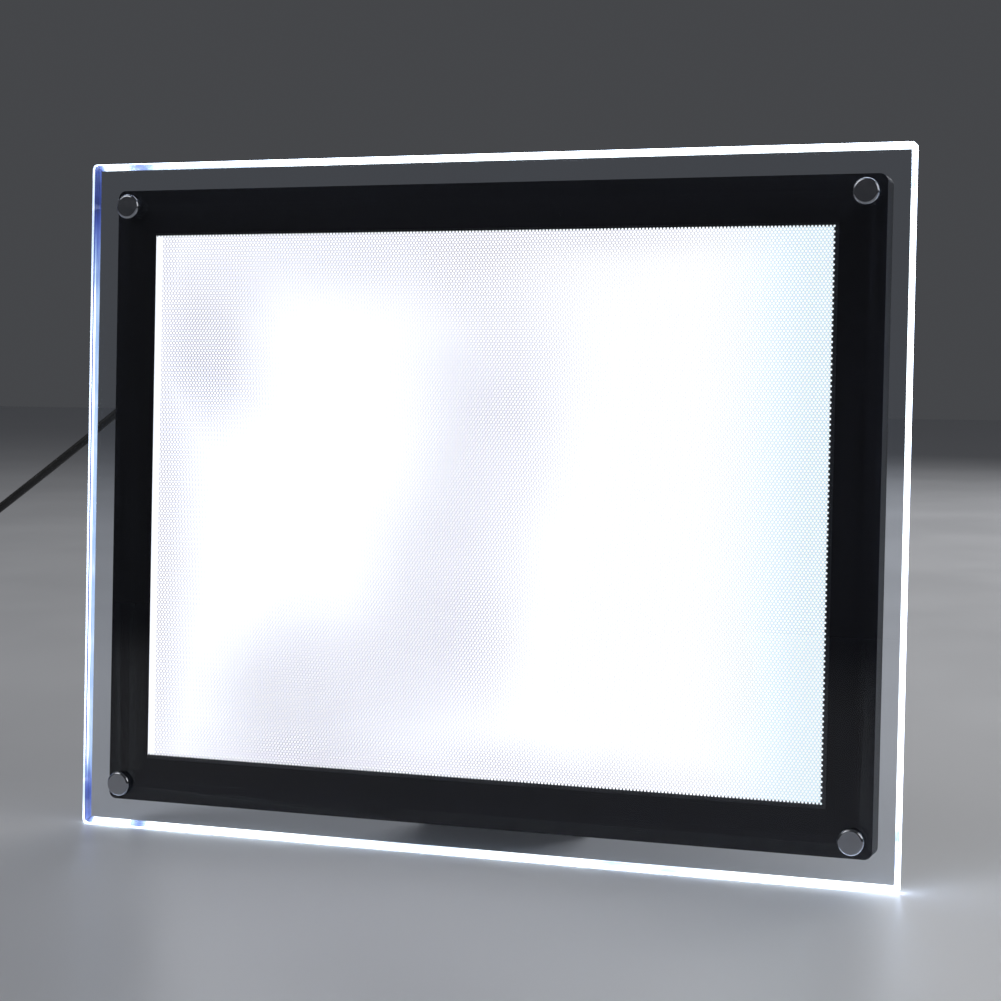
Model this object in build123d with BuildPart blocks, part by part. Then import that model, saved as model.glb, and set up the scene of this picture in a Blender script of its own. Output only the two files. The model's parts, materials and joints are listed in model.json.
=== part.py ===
from build123d import *
import os
from math import cos, pi, radians, sin, tan

# Edge-lit acrylic display light box. It stands on the lower edge of its clear front panel and on a
# fold-out rear leg. X runs along the panel, Y from front to back, Z up from the table.
# A place on the panel is given as u (right), v (up the panel) and w (forward), from the centre of
# the rear face of the clear panel.

os.makedirs("parts", exist_ok=True)

# ---- Driving dimensions, in millimetres and degrees ----
panel_width, panel_height, panel_thickness = 323.5, 260.0, 5.0
panel_corner = 1.8
rear_bevel = 2.2
lean = 3.4
border = 27.0  # edge of the panel to the lit window
clear_margin = 10.2  # edge of the panel to the black body
body_corner = 3.0
mask_thickness = 0.25
seat_gap = 0.1  # border mask to rear frame
frame_depth = 8.0
back_thickness = 2.5

cap_inset = 16.9  # cap centre to the panel's edges
cap_radius, cap_height, cap_chamfer = 4.75, 2.0, 0.65
washer_radius, washer_thickness = 4.2, 0.6
stud_radius, stud_reach = 2.0, 6.2  # reach behind the panel's rear face
panel_hole_radius = 2.4
insert_radius, insert_bore, insert_length = 3.0, 2.06, 7.0

guide_lip = 3.6  # light guide beyond the window, left and right
guide_thickness, reflector_thickness = 4.0, 0.4
poster_gap = 1.0  # rear frame's front to the guide
board_thickness, board_width, board_length = 1.0, 4.3, 274.0
led_length, led_width, led_height = 3.5, 2.8, 0.8
led_pitch, led_count = 8.5, 32
resistor_length, resistor_width, resistor_height = 2.0, 1.25, 0.5
resistor_pitch, resistor_count = 3 * led_pitch, 9
channel_wall, channel_flange, channel_lap = 1.1, 0.7, 2.8
cavity_width = 282.0
pad_width, pad_height = 264.0, 205.0
wire_radius = 0.5

screw_head, screw_shank, screw_length = 2.4, 1.2, 7.5
recess_length, recess_width, recess_depth = 2.6, 0.55, 0.7

hinge_rise, hinge_offset = 5.0, 6.0  # above the panel's centre; behind the back plate
leg_angle = 9.5  # from upright
leg_thickness, leg_top, leg_bottom = 5.0, 47.0, 64.0
ear_thickness, ear_gap, ear_radius = 4.0, 0.3, 5.0
pin_radius, pin_clearance = 1.5, 0.05
foot_wall, foot_grip, foot_depth = 1.5, 8.0, 3.0

hanger_spread, hanger_rise = 190.0, 88.0
hanger_width, hanger_bridge, hanger_height = 42.0, 26.0, 18.0
hanger_sheet, hanger_step = 1.2, 4.0

lead_diameter = 3.5
relief_u, relief_v = -137.5, 62.0
relief_neck, relief_flange, relief_root, relief_tip = 2.5, 4.5, 3.6, 2.2
relief_length = 18.0
coil_lift = 0.9  # the tie's band runs under the coil
coil_radius = 19.0  # to the middle of its turns
coil_columns, coil_layers = 3, 4
plug_length, plug_width, plug_thickness = 24.0, 15.6, 8.0
shell_length, shell_width, shell_thickness, shell_wall = 12.0, 12.0, 4.5, 0.3

# ---- Places worked out from them ----
tilt = radians(lean)
upward = Vector(0, sin(tilt), cos(tilt))
forward = Vector(0, -cos(tilt), sin(tilt))
body_width = panel_width - 2 * clear_margin
body_height = panel_height - 2 * clear_margin
window_width = panel_width - 2 * border
window_height = panel_height - 2 * border
cap_u = panel_width / 2 - cap_inset
cap_v = panel_height / 2 - cap_inset
frame_front = -mask_thickness - seat_gap
frame_back = frame_front - frame_depth
back_rear = frame_back - back_thickness
cap_seat = panel_thickness + washer_thickness

hinge_w = back_rear - hinge_offset
panel_rise = panel_height / 2 * cos(tilt) - rear_bevel * sin(tilt)
hinge_z = panel_rise + hinge_rise * cos(tilt) + hinge_w * sin(tilt)
hinge_y = hinge_rise * sin(tilt) - hinge_w * cos(tilt)
leg_tilt = radians(leg_angle)
leg_reach = hinge_z / cos(leg_tilt)  # hinge to table, along the leg
foot_half = leg_thickness / 2 + foot_wall
cap_face_edge = cap_v + cap_radius - cap_chamfer
front_limit = -cap_face_edge * sin(tilt) - (cap_seat + cap_height) * cos(tilt)
rear_limit = hinge_y + hinge_z * tan(leg_tilt) + foot_half / cos(leg_tilt)
panel_centre = Vector(0, -(front_limit + rear_limit) / 2, panel_rise)


def place(u, v, w):
    """The point at u, v, w on the panel."""
    return panel_centre + Vector(u, 0, 0) + upward * v + forward * w


def level(w):
    """A plane parallel to the panel, facing forward: its x is u and its y is v."""
    return Plane(origin=place(0, 0, w), x_dir=(1, 0, 0), z_dir=forward)


def section(u):
    """A plane across the panel, facing +X: its x is v and its y is w."""
    return Plane(origin=place(u, 0, 0), x_dir=upward, z_dir=(1, 0, 0))


def countersunk(w, spots, head, shank, length, mode=Mode.ADD):
    """Countersunk screws, or the holes for them, entered from behind with heads flush at w."""
    with BuildSketch(level(w)) as heads:
        with Locations(*spots):
            Circle(head)
    extrude(heads.sketch, amount=head - shank, taper=45, mode=mode)
    with BuildSketch(level(w)) as shanks:
        with Locations(*spots):
            Circle(shank)
    extrude(shanks.sketch, amount=length, mode=mode)


def cross_recess(w, spots):
    """Cross recesses in screw heads that are flush at w."""
    with BuildSketch(level(w)) as crosses:
        with Locations(*spots):
            Rectangle(recess_length, recess_width)
            Rectangle(recess_width, recess_length)
    extrude(crosses.sketch, amount=recess_depth, mode=Mode.SUBTRACT)


# ---- Front cover: clear panel and printed border ----
with BuildPart() as front_panel:
    with BuildSketch(level(0)):
        Rectangle(panel_width, panel_height)
    extrude(amount=panel_thickness)
    rear_face = front_panel.faces().sort_by(Axis(panel_centre, forward))[0]
    chamfer(rear_face.edges(), length=rear_bevel)
    with BuildSketch(level(0)):
        RectangleRounded(panel_width, panel_height, panel_corner)
    extrude(amount=panel_thickness, mode=Mode.INTERSECT)
    with BuildSketch(level(0)):
        with GridLocations(2 * cap_u, 2 * cap_v, 2, 2):
            Circle(panel_hole_radius)
    extrude(amount=panel_thickness, mode=Mode.SUBTRACT)
front_panel.part.label = "front_panel"
export_step(front_panel.part, "parts/front_panel.step")

with BuildPart() as border_mask:
    with BuildSketch(level(-mask_thickness)):
        RectangleRounded(body_width, body_height, body_corner)
        Rectangle(window_width, window_height, mode=Mode.SUBTRACT)
        with GridLocations(2 * cap_u, 2 * cap_v, 2, 2):
            Circle(panel_hole_radius, mode=Mode.SUBTRACT)
    extrude(amount=mask_thickness)
border_mask.part.label = "border_mask"
export_step(border_mask.part, "parts/border_mask.step")

# ---- Cap screws and their washers, one set at each corner ----
corners = {
    "top_left": (-cap_u, cap_v),
    "top_right": (cap_u, cap_v),
    "bottom_left": (-cap_u, -cap_v),
    "bottom_right": (cap_u, -cap_v),
}
for corner, spot in corners.items():
    with BuildPart() as cap_screw:
        with BuildSketch(level(cap_seat)):
            with Locations(spot):
                Circle(cap_radius)
        extrude(amount=cap_height)
        face_edge = cap_screw.faces().sort_by(Axis(panel_centre, forward))[-1].edges()
        chamfer(face_edge, length=cap_chamfer)
        with BuildSketch(level(cap_seat)):
            with Locations(spot):
                Circle(stud_radius)
        extrude(amount=-(cap_seat + stud_reach))
        stud_end = cap_screw.faces().sort_by(Axis(panel_centre, forward))[0].edges()
        chamfer(stud_end, length=0.4)
    cap_screw.part.label = f"cap_screw_{corner}"
    export_step(cap_screw.part, f"parts/cap_screw_{corner}.step")

    with BuildPart() as cap_washer:
        with BuildSketch(level(panel_thickness)):
            with Locations(spot):
                Circle(washer_radius)
                Circle(panel_hole_radius, mode=Mode.SUBTRACT)
        extrude(amount=washer_thickness)
    cap_washer.part.label = f"cap_washer_{corner}"
    export_step(cap_washer.part, f"parts/cap_washer_{corner}.step")

# ---- Rear frame, with brass inserts for the cap screws ----
guide_half_height = window_height / 2 + 4.6
board_face = guide_half_height + 0.2 + led_height
channel_inner = board_face + board_thickness
channel_outer = channel_inner + channel_wall
plate_screw_spots = [(u, v * (body_height / 2 - 4.5)) for u in (-90, 0, 90) for v in (-1, 1)]
plate_screw_spots += [(u * (body_width / 2 - 4.75), v) for u in (-1, 1) for v in (-38, 38)]

with BuildPart() as rear_frame:
    with BuildSketch(level(frame_back)):
        RectangleRounded(body_width, body_height, body_corner)
        RectangleRounded(cavity_width, 2 * channel_outer, 1.0, mode=Mode.SUBTRACT)
    extrude(amount=frame_depth)
    with BuildSketch(level(frame_front)):
        with GridLocations(2 * cap_u, 2 * cap_v, 2, 2):
            Circle(insert_radius)
    extrude(amount=-insert_length, mode=Mode.SUBTRACT)
    with BuildSketch(level(frame_back)):
        with Locations(*plate_screw_spots):
            Circle(screw_shank)
    extrude(amount=screw_length - back_thickness, mode=Mode.SUBTRACT)
rear_frame.part.label = "rear_frame"
export_step(rear_frame.part, "parts/rear_frame.step")

with BuildPart() as threaded_inserts:
    with BuildSketch(level(frame_front)):
        with GridLocations(2 * cap_u, 2 * cap_v, 2, 2):
            Circle(insert_radius)
            Circle(insert_bore, mode=Mode.SUBTRACT)
    extrude(amount=-insert_length)
threaded_inserts.part.label = "threaded_inserts"
export_step(threaded_inserts.part, "parts/threaded_inserts.step")

# ---- Light guide, reflector, pad and spacers ----
guide_width = window_width + 2 * guide_lip
guide_front = frame_front - poster_gap
guide_rear = guide_front - guide_thickness
reflector_rear = guide_rear - reflector_thickness

with BuildPart() as light_guide_plate:
    with BuildSketch(level(guide_rear)):
        Rectangle(guide_width, 2 * guide_half_height)
    extrude(amount=guide_thickness)
light_guide_plate.part.label = "light_guide_plate"
export_step(light_guide_plate.part, "parts/light_guide_plate.step")

with BuildPart() as reflector_sheet:
    with BuildSketch(level(reflector_rear)):
        Rectangle(guide_width, 2 * guide_half_height)
    extrude(amount=reflector_thickness)
reflector_sheet.part.label = "reflector_sheet"
export_step(reflector_sheet.part, "parts/reflector_sheet.step")

with BuildPart() as backing_pad:
    with BuildSketch(level(frame_back)):
        RectangleRounded(pad_width, pad_height, 4)
    extrude(amount=reflector_rear - frame_back)
backing_pad.part.label = "backing_pad"
export_step(backing_pad.part, "parts/backing_pad.step")

spacer_width = (cavity_width - guide_width) / 2
with BuildPart() as side_spacers:
    with BuildSketch(level(guide_rear)):
        with Locations((guide_width / 2 + spacer_width / 2, 60), (guide_width / 2 + spacer_width / 2, -60)):
            Rectangle(spacer_width, 14)
    extrude(amount=guide_thickness)
side_spacers.part.label = "side_spacers"
export_step(side_spacers.part, "parts/side_spacers.step")

# ---- LED boards in their channels, along the top and bottom of the guide ----
flange_front = guide_front + 0.05
flange_rear = reflector_rear - 0.05
board_centre = (flange_front + flange_rear) / 2

for edge, side in {"top": 1, "bottom": -1}.items():
    with BuildPart() as led_channel:
        with BuildSketch(section(-board_length / 2)):
            with Locations((side * (channel_outer + window_height / 2 + channel_lap) / 2, board_centre)):
                Rectangle(
                    channel_outer - window_height / 2 - channel_lap,
                    flange_front - flange_rear + 2 * channel_flange,
                )
            with Locations((side * (channel_inner + window_height / 2 + channel_lap) / 2, board_centre)):
                Rectangle(
                    channel_inner - window_height / 2 - channel_lap,
                    flange_front - flange_rear,
                    mode=Mode.SUBTRACT,
                )
        extrude(amount=board_length)
    led_channel.part.label = f"{edge}_led_channel"
    export_step(led_channel.part, f"parts/{edge}_led_channel.step")

    board_plane = Plane(
        origin=place(0, side * board_face, board_centre), x_dir=(1, 0, 0), z_dir=upward * -side
    )
    with BuildPart() as led_board:
        with BuildSketch(board_plane):
            Rectangle(board_length, board_width)
        extrude(amount=-board_thickness)
    led_board.part.label = f"{edge}_led_board"
    export_step(led_board.part, f"parts/{edge}_led_board.step")

    with BuildPart() as leds:
        with BuildSketch(board_plane):
            with GridLocations(led_pitch, 1, led_count, 1):
                Rectangle(led_length, led_width)
        extrude(amount=led_height)
    leds.part.label = f"{edge}_leds"
    export_step(leds.part, f"parts/{edge}_leds.step")

    with BuildPart() as resistors:
        with BuildSketch(board_plane):
            with GridLocations(resistor_pitch, 1, resistor_count, 1):
                Rectangle(resistor_length, resistor_width)
        extrude(amount=resistor_height)
    resistors.part.label = f"{edge}_resistors"
    export_step(resistors.part, f"parts/{edge}_resistors.step")

# ---- Wiring inside: two wires beside the guide, joined to the lead at a moulded junction ----
wire_u = -(cavity_width + guide_width) / 4
board_end = -board_length / 2
wire_v = board_face + board_thickness / 2
wire_bend = 1.5

for wire_name, wire_w in {"positive_wire": board_centre + 0.9, "negative_wire": board_centre - 0.9}.items():
    wire_route = [
        place(board_end, wire_v, wire_w),
        place(wire_u, wire_v, wire_w),
        place(wire_u, -wire_v, wire_w),
        place(board_end, -wire_v, wire_w),
    ]
    with BuildPart() as wire:
        with BuildLine():
            FilletPolyline(*wire_route, radius=wire_bend)
        with BuildSketch(Plane(origin=wire_route[0], z_dir=(-1, 0, 0))):
            Circle(wire_radius)
        sweep()
    wire.part.label = wire_name
    export_step(wire.part, f"parts/{wire_name}.step")

junction_height = 10.0
junction_outer = -(cavity_width / 2 - 0.1)
junction_front = board_centre + 2.0
with BuildPart() as wire_junction:
    with BuildSketch(level(frame_back)):
        with Locations(((junction_outer - guide_width / 2 - 0.2) / 2, relief_v)):
            Rectangle(-guide_width / 2 - 0.2 - junction_outer, junction_height)
    extrude(amount=junction_front - frame_back)
    with BuildSketch(level(frame_back)):
        with Locations(((junction_outer + relief_u + 3.2) / 2, relief_v)):
            Rectangle(relief_u + 3.2 - junction_outer, junction_height)
    extrude(amount=reflector_rear - frame_back - 0.1)
wire_junction.part.label = "wire_junction"
export_step(wire_junction.part, "parts/wire_junction.step")

# ---- Back plate with its screws ----
bracket_width, bracket_height, bracket_base = 70.0, 26.0, 2.0
bracket_spots = [(u, hinge_rise + v) for u in (-31.5, 31.5) for v in (-8.5, 8.5)]
hanger_spots = [
    (side * hanger_spread / 2 + lug * (hanger_width + hanger_bridge) / 4, hanger_rise)
    for side in (-1, 1)
    for lug in (-1, 1)
]

with BuildPart() as back_plate:
    with BuildSketch(level(back_rear)):
        RectangleRounded(body_width, body_height, body_corner)
        with Locations((relief_u, relief_v)):
            Circle(relief_neck, mode=Mode.SUBTRACT)
        with Locations(*bracket_spots, *hanger_spots):
            Circle(screw_shank, mode=Mode.SUBTRACT)
    extrude(amount=back_thickness)
    countersunk(back_rear, plate_screw_spots, screw_head, screw_shank, back_thickness, Mode.SUBTRACT)
back_plate.part.label = "back_plate"
export_step(back_plate.part, "parts/back_plate.step")

with BuildPart() as back_plate_screws:
    countersunk(back_rear, plate_screw_spots, screw_head, screw_shank, screw_length)
    cross_recess(back_rear, plate_screw_spots)
back_plate_screws.part.label = "back_plate_screws"
export_step(back_plate_screws.part, "parts/back_plate_screws.step")

# ---- Keyhole hanger plates for a wall ----
keyhole_radius, keyslot_width, keyslot_rise = 4.0, 4.2, 5.0
hanger_outer = back_rear - hanger_sheet

with BuildPart() as hanger_plates:
    for side in (-1, 1):
        hanger_u = side * hanger_spread / 2
        with BuildSketch(level(back_rear)):
            with Locations((hanger_u, hanger_rise)):
                RectangleRounded(hanger_width, hanger_height, 2.5)
        extrude(amount=-hanger_sheet)
        with BuildSketch(level(back_rear)):
            with Locations((hanger_u, hanger_rise)):
                Rectangle(hanger_bridge, hanger_height)
        extrude(amount=-hanger_step)
        with BuildSketch(level(back_rear)):
            with Locations((hanger_u, hanger_rise)):
                Rectangle(hanger_bridge - 2 * hanger_sheet, hanger_height)
        extrude(amount=hanger_sheet - hanger_step, mode=Mode.SUBTRACT)
        with BuildSketch(level(back_rear)):
            with Locations((hanger_u, hanger_rise - 2.5)):
                Circle(keyhole_radius)
            with Locations((hanger_u, hanger_rise - 2.5 + keyslot_rise / 2)):
                Rectangle(keyslot_width, keyslot_rise)
            with Locations((hanger_u, hanger_rise - 2.5 + keyslot_rise)):
                Circle(keyslot_width / 2)
        extrude(amount=-hanger_step, mode=Mode.SUBTRACT)
    countersunk(hanger_outer, hanger_spots, screw_shank + 0.9, screw_shank, hanger_sheet, Mode.SUBTRACT)
hanger_plates.part.label = "hanger_plates"
export_step(hanger_plates.part, "parts/hanger_plates.step")

with BuildPart() as hanger_screws:
    countersunk(hanger_outer, hanger_spots, screw_shank + 0.9, screw_shank, hanger_sheet + back_thickness)
    cross_recess(hanger_outer, hanger_spots)
hanger_screws.part.label = "hanger_screws"
export_step(hanger_screws.part, "parts/hanger_screws.step")

# ---- Stand: bracket, pin, fold-out leg and its rubber foot ----
base_rear = back_rear - bracket_base
ear_inner = leg_top / 2 + ear_gap
leg_inset, leg_rib = 4.0, 5.0

with BuildPart() as stand_bracket:
    with BuildSketch(level(back_rear)):
        with Locations((0, hinge_rise)):
            RectangleRounded(bracket_width, bracket_height, 3)
    extrude(amount=-bracket_base)
    for ear_start in (-ear_inner - ear_thickness, ear_inner):
        with BuildSketch(section(ear_start)):
            with Locations((hinge_rise, (base_rear + hinge_w) / 2)):
                Rectangle(2 * ear_radius, base_rear - hinge_w)
            with Locations((hinge_rise, hinge_w)):
                Circle(ear_radius)
        extrude(amount=ear_thickness)
    with BuildSketch(section(-bracket_width / 2)):
        with Locations((hinge_rise, hinge_w)):
            Circle(pin_radius)
    extrude(amount=bracket_width, mode=Mode.SUBTRACT)
    countersunk(base_rear, bracket_spots, screw_head, screw_shank, bracket_base, Mode.SUBTRACT)
stand_bracket.part.label = "stand_bracket"
export_step(stand_bracket.part, "parts/stand_bracket.step")

with BuildPart() as stand_bracket_screws:
    countersunk(base_rear, bracket_spots, screw_head, screw_shank, bracket_base + back_thickness)
    cross_recess(base_rear, bracket_spots)
stand_bracket_screws.part.label = "stand_bracket_screws"
export_step(stand_bracket_screws.part, "parts/stand_bracket_screws.step")

pin_end = ear_inner + ear_thickness + 0.8
with BuildPart() as hinge_pin:
    with BuildSketch(section(-pin_end)):
        with Locations((hinge_rise, hinge_w)):
            Circle(pin_radius)
    extrude(amount=2 * pin_end)
    chamfer(hinge_pin.edges().filter_by(GeomType.CIRCLE), length=0.4)
hinge_pin.part.label = "hinge_pin"
export_step(hinge_pin.part, "parts/hinge_pin.step")

down_leg = Vector(0, sin(leg_tilt), -cos(leg_tilt))
leg_rearward = Vector(0, cos(leg_tilt), sin(leg_tilt))
hinge = place(0, hinge_rise, hinge_w)
barrel_radius, heel_length, heel_front = 3.4, 7.0, -2.2
leg_end = leg_reach - foot_depth
grip_start = leg_end - foot_grip


def leg_level(z):
    """A plane along the leg, z behind its middle: its x is X and its y runs from hinge to foot."""
    return Plane(origin=hinge + leg_rearward * z, x_dir=(1, 0, 0), z_dir=leg_rearward)


with BuildPart() as stand_leg:
    with BuildSketch(leg_level(-leg_thickness / 2)):
        with BuildLine():
            Polyline(
                (-leg_top / 2, 0),
                (-leg_top / 2, 10),
                (-leg_bottom / 2, grip_start - 6),
                (-leg_bottom / 2, leg_end),
                (leg_bottom / 2, leg_end),
                (leg_bottom / 2, grip_start - 6),
                (leg_top / 2, 10),
                (leg_top / 2, 0),
                close=True,
            )
        make_face()
    extrude(amount=leg_thickness)
    with BuildSketch(leg_level(leg_thickness / 2 - leg_thickness * 0.6)):
        with BuildLine():
            Polyline(
                (-leg_top / 2 + leg_inset, 12),
                (-leg_bottom / 2 + leg_inset, grip_start - leg_inset),
                (leg_bottom / 2 - leg_inset, grip_start - leg_inset),
                (leg_top / 2 - leg_inset, 12),
                close=True,
            )
        make_face()
        with Locations((0, grip_start / 2)):
            Rectangle(leg_rib, grip_start, mode=Mode.SUBTRACT)
        fillet(vertices(), radius=2)
    extrude(amount=leg_thickness, mode=Mode.SUBTRACT)
    with BuildSketch(leg_level(heel_front)):
        with Locations((0, -heel_length / 2)):
            Rectangle(30, heel_length)
    extrude(amount=leg_thickness / 2 - heel_front)
    with BuildSketch(section(-leg_top / 2)):
        with Locations((hinge_rise, hinge_w)):
            Circle(barrel_radius)
    extrude(amount=leg_top)
    with BuildSketch(section(-leg_top / 2)):
        with Locations((hinge_rise, hinge_w)):
            Circle(pin_radius + pin_clearance)
    extrude(amount=leg_top, mode=Mode.SUBTRACT)
stand_leg.part.label = "stand_leg"
export_step(stand_leg.part, "parts/stand_leg.step")

with BuildPart() as stand_foot:
    with BuildSketch(leg_level(-foot_half)):
        with Locations((0, (grip_start + leg_reach + 2) / 2)):
            Rectangle(leg_bottom + 2 * foot_wall, leg_reach + 2 - grip_start)
    extrude(amount=2 * foot_half)
    side_edges = stand_foot.edges().filter_by(lambda e: abs(e.tangent_at(0.5).dot(down_leg)) > 0.99)
    fillet(side_edges, radius=2)
    with BuildSketch(leg_level(-leg_thickness / 2)):
        with Locations((0, (grip_start + leg_end) / 2)):
            Rectangle(leg_bottom, leg_end - grip_start)
    extrude(amount=leg_thickness, mode=Mode.SUBTRACT)
    split(bisect_by=Plane.XY, keep=Keep.TOP)
stand_foot.part.label = "stand_foot"
export_step(stand_foot.part, "parts/stand_foot.step")

# ---- Lead: strain relief, free stretch, coil with its tie, tail and plug ----
relief_plane = Plane(origin=place(relief_u, relief_v, frame_back), x_dir=upward, z_dir=(1, 0, 0))
relief_end = -back_thickness - relief_length
with BuildPart() as strain_relief:
    with BuildSketch(relief_plane):
        with BuildLine():
            Polyline(
                (0, 0),
                (relief_neck, 0),
                (relief_neck, -back_thickness),
                (relief_flange, -back_thickness),
                (relief_flange, -back_thickness - 1.6),
                (relief_root, -back_thickness - 2.4),
                (relief_tip, relief_end),
                (0, relief_end),
                close=True,
            )
        make_face()
    revolve(axis=Axis(relief_plane.origin, forward))
strain_relief.part.label = "strain_relief"
export_step(strain_relief.part, "parts/strain_relief.step")

lead_radius = lead_diameter / 2
coil_bottom_turn = coil_lift + lead_radius
coil_top_turn = coil_bottom_turn + (coil_layers - 1) * lead_diameter
outer_turn = coil_radius + (coil_columns - 1) * lead_diameter / 2
coil_x, lead_y = -449.0, 42.0
coil_y = lead_y - outer_turn
relief_exit = place(relief_u, relief_v, frame_back + relief_end)
plug_x, plug_y, plug_z = coil_x + 52.0, coil_y - outer_turn - 2.5, plug_thickness / 2
plug_relief = 9.0

lead_route = [
    relief_exit,
    (-137.5, 32.1, 189.0),
    (-144.0, 42.6, 187.2),
    (-155.5, 48.3, 182.0),
    (-172.0, 48.4, 169.8),
    (-195.0, 47.9, 152.9),
    (-219.0, 47.4, 135.6),
    (-255.0, 46.6, 110.2),
    (-285.0, 46.0, 89.6),
    (-315.0, 45.4, 69.5),
    (-345.0, 44.8, 50.3),
    (-375.0, 44.1, 32.2),
    (-400.0, 43.6, 18.2),
    (-417.0, 43.0, 9.3),
    (-430.0, 42.5, 4.3),
    (-440.0, 42.1, coil_bottom_turn),
    (coil_x, lead_y, coil_bottom_turn),
]
tail_route = [
    (coil_x, coil_y - outer_turn, coil_top_turn),
    (coil_x + 14.0, coil_y - outer_turn - 0.2, coil_top_turn - 1.0),
    (coil_x + 29.0, coil_y - outer_turn - 2.2, plug_z + 1.3),
    (plug_x - plug_relief, plug_y, plug_z),
]


def bend_radii(route):
    """The largest arc at each corner of a route: 0.45 of the shorter run over tan(half the turn)."""
    points = [Vector(*point) for point in route]
    radii = []
    for before, corner, after in zip(points, points[1:], points[2:]):
        run_in, run_out = corner - before, after - corner
        half_turn = radians(run_in.get_angle(run_out)) / 2
        radii.append(0.45 * min(run_in.length, run_out.length) / tan(half_turn))
    return radii


for lead_name, route in {"power_lead": lead_route, "lead_tail": tail_route}.items():
    radii = bend_radii(route)
    with BuildPart() as lead:
        with BuildLine():
            lead_path = FilletPolyline(*route, radius=radii)
        with BuildSketch(Plane(origin=lead_path @ 0, z_dir=lead_path % 0)):
            Circle(lead_radius)
        sweep()
    expected = pi * lead_radius**2 * lead_path.length
    print(lead_name, "bend radii", [round(radius, 1) for radius in radii])
    print(lead_name, "length", round(lead_path.length, 1), "volume ratio", lead.part.volume / expected)
    lead.part.label = lead_name
    export_step(lead.part, f"parts/{lead_name}.step")

coil_half = coil_columns * lead_diameter / 2
with BuildPart() as lead_coil:
    with BuildSketch(Plane.XY.offset(coil_lift)):
        with Locations((coil_x, coil_y)):
            Circle(coil_radius + coil_half)
            Circle(coil_radius - coil_half, mode=Mode.SUBTRACT)
    extrude(amount=coil_layers * lead_diameter)
    fillet(lead_coil.edges().filter_by(GeomType.CIRCLE), radius=lead_radius * 0.9)
lead_coil.part.label = "lead_coil"
export_step(lead_coil.part, "parts/lead_coil.step")

tie_width, tie_band, tie_slack = 8.0, 0.8, 0.2
tie_height = coil_lift + coil_layers * lead_diameter + tie_slack + tie_band - 0.05
tie_inner, tie_outer = coil_radius - coil_half - 0.8, coil_radius + coil_half + tie_slack
with BuildPart() as coil_tie:
    with BuildSketch(Plane(origin=(coil_x, coil_y - tie_width / 2, 0), x_dir=(1, 0, 0), z_dir=(0, 1, 0))):
        with Locations((-(tie_inner + tie_outer) / 2, -(0.05 + tie_height / 2))):
            RectangleRounded(tie_outer - tie_inner + 2 * tie_band, tie_height, 1.5)
            RectangleRounded(tie_outer - tie_inner, tie_height - 2 * tie_band, 0.8, mode=Mode.SUBTRACT)
    extrude(amount=tie_width)
coil_tie.part.label = "coil_tie"
export_step(coil_tie.part, "parts/coil_tie.step")

with BuildPart() as usb_plug_body:
    with BuildSketch(Plane(origin=(plug_x, plug_y, plug_z), x_dir=(0, 1, 0), z_dir=(1, 0, 0))):
        RectangleRounded(plug_width, plug_thickness, 1.5)
    extrude(amount=plug_length)
    fillet(usb_plug_body.faces().sort_by(Axis.X)[0].edges(), radius=1.2)
    with BuildSketch(Plane(origin=(plug_x - plug_relief, plug_y, plug_z), z_dir=(1, 0, 0))):
        Circle(lead_radius + 0.4)
    with BuildSketch(Plane(origin=(plug_x + 2, plug_y, plug_z), z_dir=(1, 0, 0))):
        Circle(lead_radius + 1.2)
    loft()
usb_plug_body.part.label = "usb_plug_body"
export_step(usb_plug_body.part, "parts/usb_plug_body.step")

shell_x = plug_x + plug_length
with BuildPart() as usb_plug_shell:
    with BuildSketch(Plane(origin=(shell_x, plug_y, plug_z), x_dir=(0, 1, 0), z_dir=(1, 0, 0))):
        RectangleRounded(shell_width, shell_thickness, 0.6)
        RectangleRounded(
            shell_width - 2 * shell_wall, shell_thickness - 2 * shell_wall, 0.3, mode=Mode.SUBTRACT
        )
    extrude(amount=shell_length)
    with BuildSketch(Plane(origin=(shell_x + shell_length / 2, plug_y, plug_z - shell_thickness))):
        with GridLocations(1, 5.6, 1, 2):
            Rectangle(2.4, 2.2)
    extrude(amount=2 * shell_thickness, mode=Mode.SUBTRACT)
usb_plug_shell.part.label = "usb_plug_shell"
export_step(usb_plug_shell.part, "parts/usb_plug_shell.step")

tongue_thickness = 1.9
tongue_low = plug_z - shell_thickness / 2 + shell_wall
with BuildPart() as usb_plug_tongue:
    with BuildSketch(Plane(origin=(shell_x, plug_y, tongue_low))):
        with Locations((shell_length / 2 - 0.2, 0)):
            Rectangle(shell_length - 0.4, shell_width - 2 * shell_wall - 0.4)
    extrude(amount=tongue_thickness)
usb_plug_tongue.part.label = "usb_plug_tongue"
export_step(usb_plug_tongue.part, "parts/usb_plug_tongue.step")

with BuildPart() as usb_contacts:
    with BuildSketch(Plane(origin=(shell_x, plug_y, tongue_low + tongue_thickness))):
        with Locations((shell_length / 2 - 0.6, 0)):
            with GridLocations(1, 2.2, 1, 4):
                Rectangle(7.5, 1.0)
    extrude(amount=0.15)
usb_contacts.part.label = "usb_contacts"
export_step(usb_contacts.part, "parts/usb_contacts.step")
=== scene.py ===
import json
from math import cos, pi, radians, sin

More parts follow.
